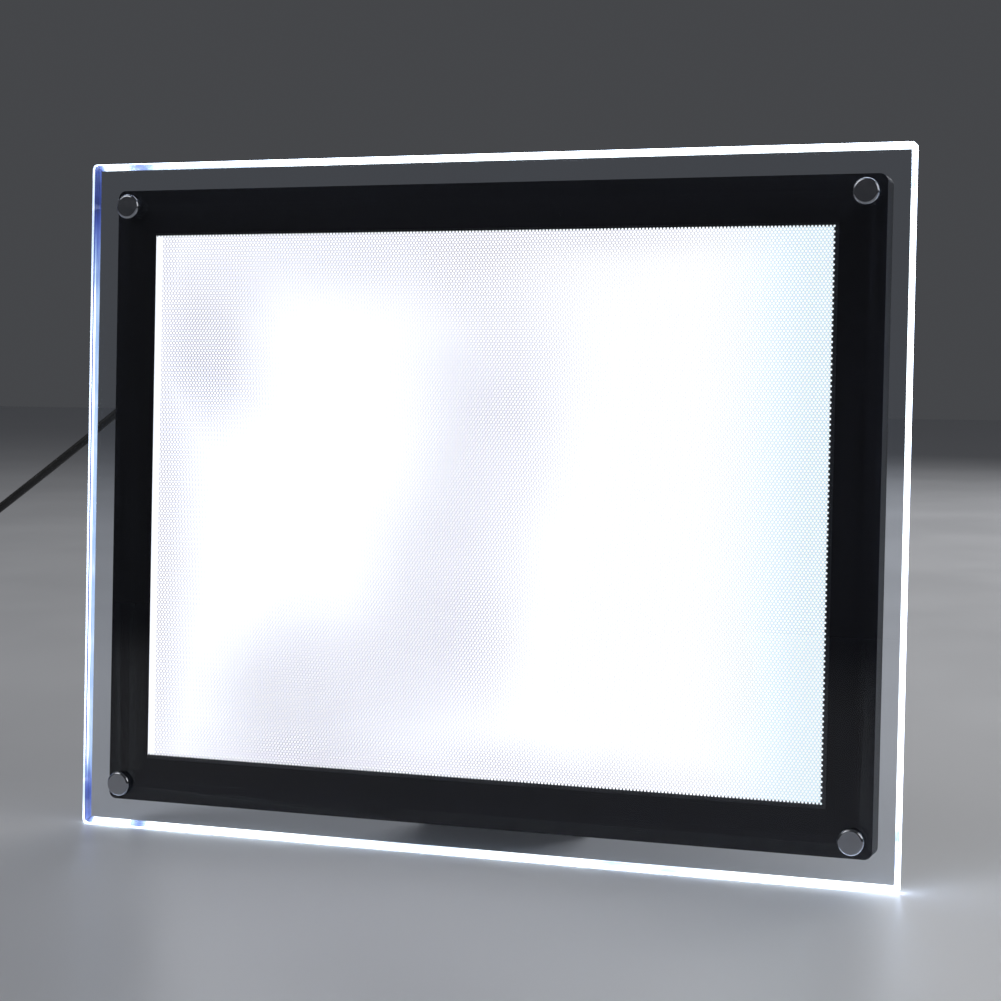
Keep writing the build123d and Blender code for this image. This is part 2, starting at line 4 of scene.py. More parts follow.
import bmesh
import bpy
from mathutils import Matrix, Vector


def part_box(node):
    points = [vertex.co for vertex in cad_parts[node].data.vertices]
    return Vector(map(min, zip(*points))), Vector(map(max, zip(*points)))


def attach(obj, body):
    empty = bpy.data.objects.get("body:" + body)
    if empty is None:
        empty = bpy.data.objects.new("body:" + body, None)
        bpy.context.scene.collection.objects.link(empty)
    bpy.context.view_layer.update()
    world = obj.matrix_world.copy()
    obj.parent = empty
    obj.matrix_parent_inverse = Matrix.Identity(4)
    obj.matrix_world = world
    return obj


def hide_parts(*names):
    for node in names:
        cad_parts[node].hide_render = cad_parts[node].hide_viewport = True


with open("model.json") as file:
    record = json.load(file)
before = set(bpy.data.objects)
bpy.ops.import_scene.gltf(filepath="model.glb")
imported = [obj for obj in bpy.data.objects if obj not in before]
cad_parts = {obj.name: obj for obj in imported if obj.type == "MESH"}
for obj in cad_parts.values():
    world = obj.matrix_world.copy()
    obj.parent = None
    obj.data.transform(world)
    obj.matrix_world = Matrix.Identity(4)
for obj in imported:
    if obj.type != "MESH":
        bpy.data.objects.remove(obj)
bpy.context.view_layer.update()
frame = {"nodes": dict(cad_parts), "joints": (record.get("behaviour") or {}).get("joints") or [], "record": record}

# Edge-lit acrylic display light box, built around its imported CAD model. Units are metres.
# A place on the panel is u (right), v (up the panel) and w (forward), from the centre of the clear
# panel's rear face, as in the CAD source.

nodes = frame["nodes"]
mm = 0.001

# ---- The panel's own axes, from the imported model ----
right = Vector((1, 0, 0))
forward = Vector(next(j["axis"] for j in frame["joints"] if j["name"] == "front_cover_release"))
upward = forward.cross(right)
guide_low, guide_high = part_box("light_guide_plate")
guide_middle_depth = 3.35 * mm
panel_centre = (guide_low + guide_high) / 2 + forward * guide_middle_depth

panel_width, panel_height, panel_thickness = 323.5 * mm, 260.0 * mm, 5.0 * mm
half_width, half_height = panel_width / 2, panel_height / 2


def place(u, v, w):
    """The point at u, v, w on the panel."""
    return panel_centre + right * u + upward * v + forward * w


# ---- Camera ----
camera_place = Vector((0.29048, -0.78075, 0.19561))
view_turn, view_drop = radians(20.09), radians(4.463)
camera_lens = 79.41

camera = bpy.data.objects.new("camera", bpy.data.cameras.new("camera"))
camera.location = camera_place
camera.rotation_euler = (pi / 2 - view_drop, 0, view_turn)
camera.data.lens = camera_lens
bpy.context.scene.collection.objects.link(camera)
bpy.context.scene.camera = camera

# ---- Building blocks for materials ----
def add(tree, kind, *values, **settings):
    """A new shader node, its inputs filled in order by constants or other nodes' outputs."""
    made = tree.nodes.new(kind)
    for name, value in settings.items():
        setattr(made, name, value)
    for socket, value in zip(made.inputs, values):
        if isinstance(value, bpy.types.NodeSocket):
            tree.links.new(value, socket)
        elif value is not None:
            socket.default_value = value
    return made


def calc(tree, operation, *values):
    """A sum on numbers."""
    return add(tree, "ShaderNodeMath", *values, operation=operation).outputs[0]


def reach_of(tree, off_u, off_v):
    """How far a point is that lies off_u across and off_v up."""
    squares = [calc(tree, "POWER", off, 2.0) for off in (off_u, off_v)]
    return calc(tree, "SQRT", calc(tree, "ADD", *squares))


def between(tree, value, low, high, start=0.0, end=1.0):
    """A smooth step from start, where value is at low, to end, where it is at high."""
    step = add(tree, "ShaderNodeMapRange", value, low, high, start, end, interpolation_type="SMOOTHSTEP")
    return step.outputs[0]


def blend_colours(tree, share, first, second):
    """first where share is 0, second where it is 1."""
    made = tree.nodes.new("ShaderNodeMix")
    made.data_type = "RGBA"
    for index, value in ((0, share), (6, first), (7, second)):
        if isinstance(value, bpy.types.NodeSocket):
            tree.links.new(value, made.inputs[index])
        else:
            made.inputs[index].default_value = value if index == 0 else (*value, 1)
    return made.outputs[2]


def noise(tree, spot, scale, detail=2.0):
    """Noise from 0 to 1, with features about 1/scale metres across."""
    return add(tree, "ShaderNodeTexNoise", spot, None, scale, detail).outputs[0]


def stretched(tree, spot, *scales):
    """Coordinates scaled apart along X, Y and Z, for grain that runs one way."""
    return add(tree, "ShaderNodeVectorMath", spot, scales, operation="MULTIPLY").outputs[0]


def bumped(tree, height, depth):
    """A normal from a height of 0 to 1 that stands for depth metres."""
    made = tree.nodes.new("ShaderNodeBump")
    made.inputs["Distance"].default_value = depth
    tree.links.new(height, made.inputs["Height"])
    return made.outputs[0]


def new_look(name):
    """A material, its tree and a surface point's coordinates in the row frame."""
    made = bpy.data.materials.new(name)
    made.use_nodes = True
    return made, made.node_tree, made.node_tree.nodes.new("ShaderNodeTexCoord").outputs["Object"]


def set_shader(tree, **values):
    """Fills the Principled shader's sockets, named in small letters with underscores."""
    sockets = {s.name.lower().replace(" ", "_"): s for s in tree.nodes["Principled BSDF"].inputs}
    for name, value in values.items():
        if isinstance(value, bpy.types.NodeSocket):
            tree.links.new(value, sockets[name])
        elif isinstance(value, tuple):
            sockets[name].default_value = (*value, 1)
        else:
            sockets[name].default_value = value


def panel_spot(tree, spot):
    """u and v of a surface point, in millimetres."""
    away = add(tree, "ShaderNodeVectorMath", spot, panel_centre, operation="SUBTRACT").outputs[0]
    return [
        add(tree, "ShaderNodeVectorMath", away, axis / mm, operation="DOT_PRODUCT").outputs["Value"]
        for axis in (right, upward)
    ]


# ---- Materials ----
def grey(level):
    return (level, level, level)


def grained_plastic(name, level, scale=2600.0, depth=0.05 * mm, roughness=0.48):
    """Dark moulded plastic with a fine spark-eroded grain."""
    made, tree, spot = new_look(name)
    grain = noise(tree, spot, scale, 3)
    clouds = noise(tree, spot, 45)
    set_shader(
        tree,
        base_color=blend_colours(tree, clouds, grey(level * 0.7), (level * 1.5, level * 1.5, level * 1.6)),
        roughness=between(tree, grain, 0.3, 0.7, roughness - 0.07, roughness + 0.09),
        normal=bumped(tree, grain, depth),
    )
    return made


def rubber(name, level, roughness, scale=1800.0, depth=0.02 * mm):
    """Smooth soft rubber or PVC, a little dusty."""
    made, tree, spot = new_look(name)
    skin = noise(tree, spot, scale, 4)
    dust = noise(tree, spot, 120, 5)
    set_shader(
        tree,
        base_color=blend_colours(tree, between(tree, dust, 0.45, 0.8), grey(level), grey(level * 2.2)),
        roughness=between(tree, dust, 0.3, 0.7, roughness - 0.06, roughness + 0.1),
        normal=bumped(tree, skin, depth),
        specular_ior_level=0.45,
    )
    return made


def plated_steel(name, colour, roughness, run=(60.0, 2600.0, 2600.0), depth=0.004 * mm):
    """Zinc-plated steel: drawn grain along one axis and the plating's faint cloudy tints."""
    made, tree, spot = new_look(name)
    grain = noise(tree, stretched(tree, spot, *run), 1.0, 3)
    clouds = noise(tree, spot, 180, 3)
    bluish = (colour[0] * 0.84, colour[1] * 0.90, colour[2] * 1.02)
    set_shader(
        tree,
        base_color=blend_colours(tree, clouds, bluish, (colour[0], colour[1] * 0.99, colour[2] * 0.93)),
        metallic=1.0,
        roughness=between(tree, grain, 0.3, 0.7, roughness - 0.06, roughness + 0.1),
        normal=bumped(tree, grain, depth),
    )
    return made


def turned_chrome(name, axis_point):
    """Chromed cap: fine turning rings round its own axis under a bright plating."""
    made, tree, spot = new_look(name)
    away = add(tree, "ShaderNodeVectorMath", spot, axis_point, operation="SUBTRACT").outputs[0]
    along = add(tree, "ShaderNodeVectorMath", away, forward, operation="DOT_PRODUCT").outputs["Value"]
    reach = add(tree, "ShaderNodeVectorMath", away, operation="LENGTH").outputs["Value"]
    reach_squared = calc(tree, "MULTIPLY", reach, reach)
    square = calc(tree, "SUBTRACT", reach_squared, calc(tree, "MULTIPLY", along, along))
    radius = calc(tree, "SQRT", calc(tree, "MAXIMUM", square, 0.0))
    uneven = noise(tree, spot, 900, 2)
    ring_pitch = 0.16 * mm
    turn = calc(tree, "MULTIPLY_ADD", radius, 2 * pi / ring_pitch, calc(tree, "MULTIPLY", uneven, 6.0))
    rings = calc(tree, "MULTIPLY_ADD", calc(tree, "SINE", turn), 0.5, 0.5)
    handled = noise(tree, spot, 260, 4)
    set_shader(
        tree,
        base_color=blend_colours(tree, handled, (0.34, 0.35, 0.38), (0.44, 0.45, 0.48)),
        metallic=1.0,
        roughness=between(tree, handled, 0.35, 0.75, 0.10, 0.21),
        normal=bumped(tree, rings, 0.0015 * mm),
    )
    return made


def let_lamps_through(tree):
    """Mixes in a transparent shader for shadow rays alone, so that clear acrylic casts no black shadow."""
    solid = tree.nodes["Principled BSDF"].outputs[0]
    clear = add(tree, "ShaderNodeBsdfTransparent", (0.93, 0.96, 1.0, 1)).outputs[0]
    shadow_ray = tree.nodes.new("ShaderNodeLightPath").outputs["Is Shadow Ray"]
    mixed = add(tree, "ShaderNodeMixShader", shadow_ray, solid, clear)
    tree.links.new(mixed.outputs[0], tree.nodes["Material Output"].inputs["Surface"])


rim_glow = 6.5  # how strongly the panel's walls shine
left_wall_loss = 0.86  # the share of it that is missing at the left
wall_depth = 0.6  # millimetres in from the panel's edge that count as its wall
acrylic_tint, acrylic_ior = (0.90, 0.94, 1.0), 1.49


def clear_acrylic():
    """Polished clear acrylic with faint wiping marks."""
    made, tree, spot = new_look("clear_acrylic")
    wiped = noise(tree, stretched(tree, spot, 30, 30, 90), 1.0, 4)
    set_shader(
        tree,
        base_color=acrylic_tint,
        roughness=between(tree, wiped, 0.45, 0.8, 0.0, 0.035),
        ior=acrylic_ior,
        transmission_weight=1.0,
    )
    let_lamps_through(tree)
    return made


# Where the bevel's painted glow behind the panel's rim is dimmer, as painted shade: u, v, half width and half
# height in millimetres, and how much dimmer.
bevel_dips = [
    (-161.0, 120.0, 3.0, 24.0, 1.0),
    (-161.0, 90.0, 3.0, 12.0, 0.3),
    (-161.0, -126.0, 3.0, 20.0, 0.9),
    (-142.0, 129.0, 5.0, 4.0, 0.55),
    (-118.0, 129.0, 50.0, 5.0, 0.28),
    (-138.0, -129.0, 4.0, 4.0, 0.6),
    (-20.0, -129.0, 60.0, 4.0, 0.22),
    (70.0, -129.0, 40.0, 4.0, 0.25),
    (161.0, 118.0, 3.0, 9.0, 0.45),
    (161.0, -116.0, 3.0, 12.0, 0.45),
]


def soft_patches(tree, u, v, places):
    """How much of the soft oval places lies over a point: 0 clear of them, up to 1."""
    clear = None
    for place_u, place_v, half_u, half_v, share in places:
        off_u = calc(tree, "DIVIDE", calc(tree, "SUBTRACT", u, place_u), half_u)
        off_v = calc(tree, "DIVIDE", calc(tree, "SUBTRACT", v, place_v), half_v)
        left_over = between(tree, reach_of(tree, off_u, off_v), 0.2, 1.4, 1.0 - share, 1.0)
        clear = left_over if clear is None else calc(tree, "MULTIPLY", clear, left_over)
    return calc(tree, "SUBTRACT", 1.0, clear)


def colour_ramp(tree, level, stops):
    """Colours along a level, from stops of position and colour."""
    ramp = tree.nodes.new("ShaderNodeValToRGB")
    tree.links.new(level, ramp.inputs[0])
    while len(ramp.color_ramp.elements) < len(stops):
        ramp.color_ramp.elements.new(1.0)
    for element, (position, colour) in zip(ramp.color_ramp.elements, stops):
        element.position, element.color = position, (*colour, 1)
    return ramp.outputs[0]


def lit_wall():
    """The panel's polished outer wall, where the light inside the sheet comes out: weaker at the left."""
    made, tree, spot = new_look("lit_wall")
    u, v = panel_spot(tree, spot)
    streaks = noise(tree, stretched(tree, spot, 60, 2400, 60), 1.0, 2)
    glow = between(tree, streaks, 0.2, 0.8, rim_glow * 0.8, rim_glow * 1.1)
    left_wall = calc(tree, "LESS_THAN", u, wall_depth - half_width / mm)
    left_share = calc(tree, "MULTIPLY_ADD", left_wall, -left_wall_loss, 1.0)
    set_shader(
        tree,
        base_color=acrylic_tint,
        roughness=between(tree, streaks, 0.3, 0.7, 0.04, 0.14),
        ior=acrylic_ior,
        transmission_weight=0.6,
        emission_color=(0.66, 0.78, 1.0),
        emission_strength=calc(tree, "MULTIPLY", glow, left_share),
    )
    let_lamps_through(tree)
    return made


def lit_bevel():
    """The panel's rear bevel, its glow painted on: bright, with darker blue stretches, and at the left painted
    shade as dark lines along its mitres and its wall and a dimmer inner band."""
    made, tree, spot = new_look("lit_bevel")
    u, v = panel_spot(tree, spot)
    streaks = noise(tree, stretched(tree, spot, 30, 2400, 30), 1.0, 2)
    grain = noise(tree, spot, 110, 2)
    texture = calc(tree, "ADD", calc(tree, "MULTIPLY", streaks, 0.22), calc(tree, "MULTIPLY", grain, 0.18))
    # Painted shade: the stretches where the bevel's glow is darker.
    dips = soft_patches(tree, u, v, bevel_dips)
    level = calc(tree, "SUBTRACT", calc(tree, "ADD", texture, 0.80), dips)
    in_from_side = calc(tree, "SUBTRACT", half_width / mm, calc(tree, "ABSOLUTE", u))
    in_from_end = calc(tree, "SUBTRACT", half_height / mm, calc(tree, "ABSOLUTE", v))
    left_half = calc(tree, "LESS_THAN", u, 0.0)
    at_left = calc(tree, "MULTIPLY", left_half, calc(tree, "LESS_THAN", in_from_side, in_from_end))
    # Painted shade: a dimmer inner band along the bevel at the left.
    band = calc(tree, "MULTIPLY", at_left, between(tree, in_from_side, 0.75, 1.05, 0.0, 0.36))
    level = calc(tree, "SUBTRACT", level, calc(tree, "MULTIPLY", band, calc(tree, "SUBTRACT", 1.0, dips)))
    # Painted shade: dark lines along the left bevel's mitres and its wall, where its glow is cut out.
    off_mitre = calc(tree, "ABSOLUTE", calc(tree, "SUBTRACT", in_from_side, in_from_end))
    clear_of_mitre_shade = between(tree, off_mitre, 0.20, 0.55)
    clear_of_wall_shade = between(tree, calc(tree, "ABSOLUTE", in_from_side), 0.25, 0.50, 0.3, 1.0)
    clear_of_shade_lines = calc(tree, "MULTIPLY", clear_of_mitre_shade, clear_of_wall_shade)
    clear_of_shade_lines = calc(tree, "MAXIMUM", clear_of_shade_lines, calc(tree, "SUBTRACT", 1.0, left_half))
    level = calc(tree, "MULTIPLY", level, clear_of_shade_lines)
    stops = [
        (0.0, (0.012, 0.018, 0.09)),
        (0.12, (0.045, 0.07, 0.30)),
        (0.35, (0.13, 0.19, 0.52)),
        (0.60, (0.42, 0.60, 0.90)),
        (0.85, (0.86, 0.96, 1.0)),
    ]
    set_shader(
        tree,
        base_color=(0.03, 0.05, 0.16),
        roughness=between(tree, streaks, 0.3, 0.7, 0.06, 0.2),
        ior=acrylic_ior,
        transmission_weight=0.3,
        emission_color=colour_ramp(tree, level, stops),
        emission_strength=between(tree, level, 0.62, 1.0, 1.05, rim_glow * 0.5),
    )
    let_lamps_through(tree)
    return made


def printed_border():
    """Black ink printed behind the clear sheet: even, with the ink's faint mottle."""
    made, tree, spot = new_look("printed_border")
    mottle = noise(tree, spot, 700, 3)
    set_shader(
        tree,
        base_color=blend_colours(tree, mottle, (0.0025, 0.0025, 0.004), (0.006, 0.006, 0.009)),
        roughness=between(tree, mottle, 0.3, 0.7, 0.40, 0.52),
        specular_ior_level=0.1,
    )
    return made


# Where the lit window is a little dimmer and lavender: u, v, half width and half height in
# millimetres, and how much dimmer.
window_shades = [
    (-112.0, 60.0, 30.0, 38.0, 0.85),
    (-50.0, 98.0, 110.0, 28.0, 0.64),
    (60.0, 102.0, 80.0, 12.0, 0.40),
    (2.0, 50.0, 40.0, 42.0, 0.62),
    (6.0, 18.0, 30.0, 36.0, 0.50),
    (-12.0, -22.0, 34.0, 40.0, 0.70),
    (-22.0, -62.0, 40.0, 34.0, 0.72),
    (-72.0, -80.0, 46.0, 42.0, 0.88),
    (-20.0, -101.0, 150.0, 14.0, 0.60),
]
drift_reach = 9.0  # millimetres by which the outlines of these shades wander

# The printed dots, in millimetres: their spacing along a row, the rows' spacing and offset, where a dot's
# soft edge starts and ends, and the field that they fill.
dot_pitch, row_pitch, row_offset = 1.315, 0.968, 0.234
dot_edge = (0.32, 0.46)
field_left, field_right, field_top, field_bottom = -132.5, 132.9, 102.2, -101.7


def window_dots(tree, u, v):
    """Round dots in staggered rows, from 0 between them to 1, with the u and v of the dot's centre."""
    rows = calc(tree, "DIVIDE", calc(tree, "ADD", v, row_offset), row_pitch)
    odd = calc(tree, "FLOORED_MODULO", calc(tree, "FLOOR", rows), 2.0)
    columns = calc(tree, "MULTIPLY_ADD", odd, 0.5, calc(tree, "DIVIDE", u, dot_pitch))
    across = calc(tree, "MULTIPLY", calc(tree, "SUBTRACT", calc(tree, "FRACT", columns), 0.5), dot_pitch)
    along = calc(tree, "MULTIPLY", calc(tree, "SUBTRACT", calc(tree, "FRACT", rows), 0.5), row_pitch)
    dot = between(tree, reach_of(tree, across, along), *dot_edge, 1.0, 0.0)
    return dot, calc(tree, "SUBTRACT", u, across), calc(tree, "SUBTRACT", v, along)


def light_guide():
    """The lit guide: printed dots that end in a scalloped edge, and a plain bright band at the left."""
    made, tree, spot = new_look("light_guide")
    u, v = panel_spot(tree, spot)
    dot, dot_u, dot_v = window_dots(tree, u, v)
    for inside in (
        calc(tree, "LESS_THAN", dot_v, field_top),
        calc(tree, "GREATER_THAN", dot_v, field_bottom),
        calc(tree, "LESS_THAN", dot_u, field_right),
    ):
        dot = calc(tree, "MULTIPLY", dot, inside)
    upright = calc(
        tree,
        "MULTIPLY",
        between(tree, v, field_top - 0.7, field_top - 0.3, 1.0, 0.0),
        between(tree, v, field_bottom + 0.3, field_bottom + 0.7),
    )
    ground = calc(tree, "MULTIPLY", between(tree, u, field_right - 0.6, field_right, 1.0, 0.0), upright)
    plain = between(tree, u, field_left - 0.3, field_left + 0.3, 1.0, 0.0)
    plain = calc(tree, "MULTIPLY", plain, upright)
    drift = noise(tree, spot, 16, 2)
    other_drift = noise(tree, stretched(tree, spot, 1, 1, -1), 16, 2)
    start_u, start_v = (calc(tree, "SUBTRACT", value, drift_reach) for value in (u, v))
    drift_u = calc(tree, "MULTIPLY_ADD", drift, 2 * drift_reach, start_u)
    drift_v = calc(tree, "MULTIPLY_ADD", other_drift, 2 * drift_reach, start_v)
    shade = soft_patches(tree, drift_u, drift_v, window_shades)
    shade = calc(tree, "MAXIMUM", shade, between(tree, u, -131.0, -104.0, 0.60, 0.0))
    between_dots = blend_colours(tree, shade, (0.90, 0.88, 0.86), (0.32, 0.28, 0.333))
    cooler = between(tree, u, 78.0, 130.0)
    between_dots = blend_colours(tree, cooler, between_dots, (0.626, 0.69, 0.688))
    on_dots = blend_colours(tree, cooler, (1.386, 1.372, 1.359), (0.90, 0.952, 0.948))
    lit_ground = blend_colours(tree, ground, (0.0, 0.0, 0.0), between_dots)
    lit = blend_colours(tree, dot, lit_ground, on_dots)
    lit = blend_colours(tree, plain, lit, (1.05, 1.05, 1.05))
    printed = calc(tree, "MAXIMUM", calc(tree, "MAXIMUM", dot, plain), ground)
    ink = blend_colours(tree, dot, (0.08, 0.08, 0.09), (0.32, 0.32, 0.33))
    set_shader(
        tree,
        base_color=blend_colours(tree, printed, (0.004, 0.004, 0.008), ink),
        roughness=0.35,
        emission_color=lit,
        emission_strength=1.2,
    )
    return made


def brushed_channel():
    """Extruded aluminium, drawn along its length."""
    return plated_steel("channel_aluminium", (0.76, 0.77, 0.78), 0.34, (40.0, 3000.0, 3000.0))


def speckled(name, first, second, scale, roughness, depth):
    """A dull material of two near colours, such as foam, film or solder mask."""
    made, tree, spot = new_look(name)
    cells = noise(tree, spot, scale, 4)
    set_shader(
        tree,
        base_color=blend_colours(tree, cells, first, second),
        roughness=between(tree, cells, 0.3, 0.7, roughness - 0.05, roughness + 0.05),
        normal=bumped(tree, cells, depth),
    )
    return made


def leds():
    """Phosphor windows in white cases, 8.5 mm apart."""
    made, tree, spot = new_look("led_phosphor")
    u, v = panel_spot(tree, spot)
    led_pitch = 8.5
    off = calc(tree, "SUBTRACT", calc(tree, "FRACT", calc(tree, "DIVIDE", u, led_pitch)), 0.5)
    across = calc(tree, "ABSOLUTE", calc(tree, "MULTIPLY", off, led_pitch))
    window = between(tree, across, 1.0, 1.3, 1.0, 0.0)
    grains = noise(tree, spot, 4000, 2)
    phosphor = blend_colours(tree, grains, (0.92, 0.72, 0.16), (0.98, 0.90, 0.42))
    set_shader(
        tree,
        base_color=blend_colours(tree, window, (0.88, 0.88, 0.86), phosphor),
        roughness=0.4,
        emission_color=blend_colours(tree, window, (0.0, 0.0, 0.0), (1.0, 0.97, 0.90)),
        emission_strength=1.5,
    )
    return made


def woven_strap():
    """Hook-and-loop strap: a nap of tiny loops over a coarse weave."""
    made, tree, spot = new_look("tie_fabric")
    loops = noise(tree, spot, 5200, 3)
    weave = add(tree, "ShaderNodeTexVoronoi", spot, None, 2300.0).outputs["Distance"]
    height = calc(tree, "MULTIPLY_ADD", weave, 0.6, loops)
    set_shader(
        tree,
        base_color=blend_colours(tree, loops, (0.010, 0.010, 0.011), (0.055, 0.055, 0.060)),
        roughness=0.9,
        normal=bumped(tree, height, 0.25 * mm),
        sheen_weight=0.35,
        sheen_roughness=0.5,
    )
    return made


looks = {
    "printed_border": printed_border(),
    "clear_washer": speckled("clear_washer", (0.80, 0.82, 0.84), (0.90, 0.91, 0.92), 900.0, 0.3, 0.01 * mm),
    "frame_plastic": grained_plastic("frame_plastic", 0.012),
    "brass": plated_steel("brass", (0.78, 0.58, 0.28), 0.3),
    "light_guide": light_guide(),
    "white_film": speckled("white_film", grey(0.84), grey(0.92), 500.0, 0.4, 0.01 * mm),
    "foam": speckled("foam", grey(0.62), grey(0.86), 1500.0, 0.85, 0.2 * mm),
    "channel_aluminium": brushed_channel(),
    "board_white": speckled("board_white", (0.78, 0.81, 0.78), (0.87, 0.89, 0.87), 1200.0, 0.35, 0.02 * mm),
    "led_phosphor": leds(),
    "resistor_black": speckled("resistor_black", grey(0.02), grey(0.05), 3000.0, 0.4, 0.01 * mm),
    "red_insulation": speckled(
        "red_insulation", (0.42, 0.012, 0.012), (0.56, 0.03, 0.03), 800.0, 0.42, 0.01 * mm
    ),
    "black_insulation": rubber("black_insulation", 0.015, 0.42),
    "junction_rubber": rubber("junction_rubber", 0.03, 0.5),
    "back_plate_black": grained_plastic("back_plate_black", 0.014, 1700.0, 0.09 * mm, 0.5),
    "zinc_screw": plated_steel("zinc_screw", (0.62, 0.62, 0.63), 0.28, (1500.0, 1500.0, 1500.0)),
    "steel_plate": plated_steel("steel_plate", (0.60, 0.60, 0.61), 0.33),
    "stand_plastic": grained_plastic("stand_plastic", 0.013, 2200.0, 0.06 * mm, 0.44),
    "foot_rubber": rubber("foot_rubber", 0.022, 0.62, 1400.0, 0.05 * mm),
    "lead_jacket": rubber("lead_jacket", 0.014, 0.40),
    "tie_fabric": woven_strap(),
    "plug_plastic": rubber("plug_plastic", 0.015, 0.36),
    "plug_steel": plated_steel("plug_steel", (0.70, 0.70, 0.71), 0.2, (900.0, 7000.0, 7000.0), 0.0006 * mm),
    "plug_tongue": speckled("plug_tongue", grey(0.78), grey(0.86), 900.0, 0.4, 0.01 * mm),
    "gold_contact": plated_steel("gold_contact", (0.90, 0.68, 0.30), 0.22),
}


def wear(node, look):
    """Gives a CAD node its material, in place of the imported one."""
    for slot in node.material_slots:
        slot.link = "OBJECT"
        slot.material = look


slots = {part["node"]: part["material_slot"] for part in frame["record"]["subparts"]}
for name, slot_name in slots.items():
    if slot_name in looks:
        wear(nodes[name], looks[slot_name])
chromed_caps = [name for name in nodes if slots[name] == "chromed_cap"]
for name in chromed_caps:
    low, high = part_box(name)
    wear(nodes[name], turned_chrome(name + "_chrome", (low + high) / 2))


# ---- Softened edges on the CAD parts ----
# Points nearer than this are one point, and faces more level than this are one face.
same_point, same_plane = 0.002 * mm, radians(0.5)


def soften(name, width, segments=2):
    """Rounds a part's sharp edges a little, as a mould or a tumbler leaves them."""
    weld = nodes[name].modifiers.new("weld", "WELD")
    weld.merge_threshold = same_point
    flat = nodes[name].modifiers.new("flat", "DECIMATE")
    flat.decimate_type, flat.angle_limit = "DISSOLVE", same_plane
    edge = nodes[name].modifiers.new("edge", "BEVEL")
    edge.width, edge.segments, edge.limit_method = width, segments, "ANGLE"
    edge.angle_limit, edge.harden_normals = radians(35), True


for name, width in {
    "rear_frame": 0.35 * mm,
    "back_plate": 0.3 * mm,
    "stand_bracket": 0.3 * mm,
    "stand_leg": 0.4 * mm,
    "stand_foot": 0.5 * mm,
    "hanger_plates": 0.15 * mm,
}.items():
    soften(name, width)
for name in chromed_caps:
    soften(name, 0.3 * mm, 4)


# ---- Clear panel: the CAD panel's shape with polished edges and a lit rim ----
polish = 0.25 * mm
rim_depth = 2.6 * mm


def in_from_rim(point):
    """How far a point is in from the panel's nearest outer edge."""
    spot = point - panel_centre
    return min(half_width - abs(spot.x), half_height - abs(spot.dot(upward)))


def height_over_rear(point):
    """How far a point is forward of the panel's rear face."""
    return (point - panel_centre).dot(forward)


def panel_material(face):
    """The material's number at a face: 0 the clear sheet, 1 its outer walls and polish, 2 the bevel."""
    middle = face.calc_center_median()
    slope = abs(face.normal.dot(forward))
    if in_from_rim(middle) >= rim_depth or slope > 0.95:
        return 0
    at_front = height_over_rear(middle) > panel_thickness - 1 * mm
    return 1 if at_front or slope < 0.3 else 2


def clear_panel():
    """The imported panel's mesh, cleaned, with its front edge polished and its rim in its own materials."""
    form = bmesh.new()
    form.from_mesh(nodes["front_panel"].data)
    bmesh.ops.remove_doubles(form, verts=form.verts, dist=same_point)
    bmesh.ops.dissolve_limit(form, angle_limit=same_plane, verts=form.verts, edges=form.edges)
    front_rim = [
        edge
        for edge in form.edges
        if len(edge.link_faces) == 2
        and edge.calc_face_angle() > radians(40)
        and all(height_over_rear(vert.co) > panel_thickness - 0.01 * mm for vert in edge.verts)
        and in_from_rim(edge.verts[0].co) < rim_depth
    ]
    bmesh.ops.bevel(form, geom=front_rim, offset=polish, segments=2, affect="EDGES", profile=0.5)
    for face in form.faces:
        face.material_index = panel_material(face)
        face.smooth = False
    mesh = bpy.data.meshes.new("clear_panel")
    form.to_mesh(mesh)
    form.free()
    panel = bpy.data.objects.new("clear_panel", mesh)
    bpy.context.scene.collection.objects.link(panel)
    mesh.materials.append(clear_acrylic())
    mesh.materials.append(lit_wall())
    mesh.materials.append(lit_bevel())
    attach(panel, "front_cover")
    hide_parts("front_panel")


clear_panel()

# ---- Strap round the coil: one loop of tape, its end lapped over the start ----
coil_x, coil_y = -0.449, 0.0195
strap_width, strap_thickness = 8.0 * mm, 0.8 * mm
strap_low = Vector((coil_x - 24.85 * mm, 0.45 * mm))
strap_high = Vector((coil_x - 12.55 * mm, 15.5 * mm))
strap_bend, bend_steps = 1.3 * mm, 6


def strap_line():
    """The tape's middle line in X and Z, from under the lap, down the outside, and back over the top."""
    lap = strap_high.y + strap_thickness + 0.06 * mm
    corners = [
        (coil_x - 18 * mm, strap_high.y),
        (strap_low.x, strap_high.y),
        (strap_low.x, strap_low.y),
        (strap_high.x, strap_low.y),
        (strap_high.x, lap),
        (coil_x - 21 * mm, lap),
        (coil_x - 22.2 * mm, lap + 0.35 * mm),
    ]
    line = [Vector(corners[0])]
    for before, corner, after in zip(corners, corners[1:], corners[2:]):
        back, on = (Vector(before) - Vector(corner)), (Vector(after) - Vector(corner))
        bend = min(strap_bend, back.length / 2.2, on.length / 2.2)
        start, end = Vector(corner) + back.normalized() * bend, Vector(corner) + on.normalized() * bend
        for step in range(bend_steps + 1):
            t = step / bend_steps
            line.append(start * (1 - t) ** 2 + Vector(corner) * 2 * t * (1 - t) + end * t**2)
    line.append(Vector(corners[-1]))
    return line


